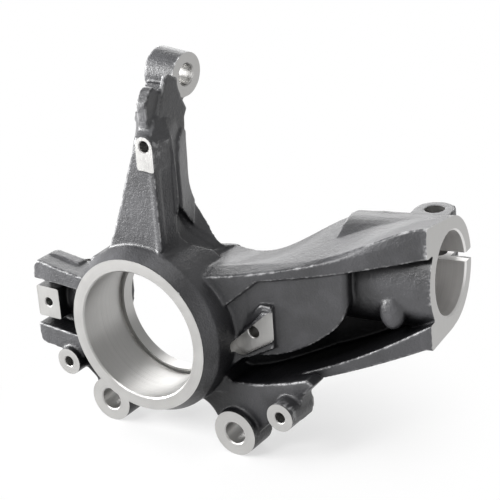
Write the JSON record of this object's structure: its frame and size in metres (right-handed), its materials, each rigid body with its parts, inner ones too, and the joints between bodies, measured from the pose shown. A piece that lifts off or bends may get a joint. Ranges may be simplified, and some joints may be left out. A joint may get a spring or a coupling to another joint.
{
  "type": "steering knuckle",
  "caption": "Cast steering knuckle with a bearing bore, split strut clamp on a channelled neck, tie-rod arm, caliper ears and a ball-joint bracket.",
  "frame": {"origin": "centre of the wheel-bearing bore in the plane of its outboard face", "axes": "-Y points outboard along the bearing axis, +X runs towards the strut clamp (up on the vehicle), +Z towards the tie-rod eye; the caliper ears lie level"},
  "size_m": [0.2626, 0.1366, 0.2374],
  "materials": {
    "cast_skin": "dark semi-gloss coating on sand-cast iron, with bare turned faces and bores"
  },
  "bodies": {
    "root": {"steering_knuckle": "cast_skin"}
  },
  "joints": []
}
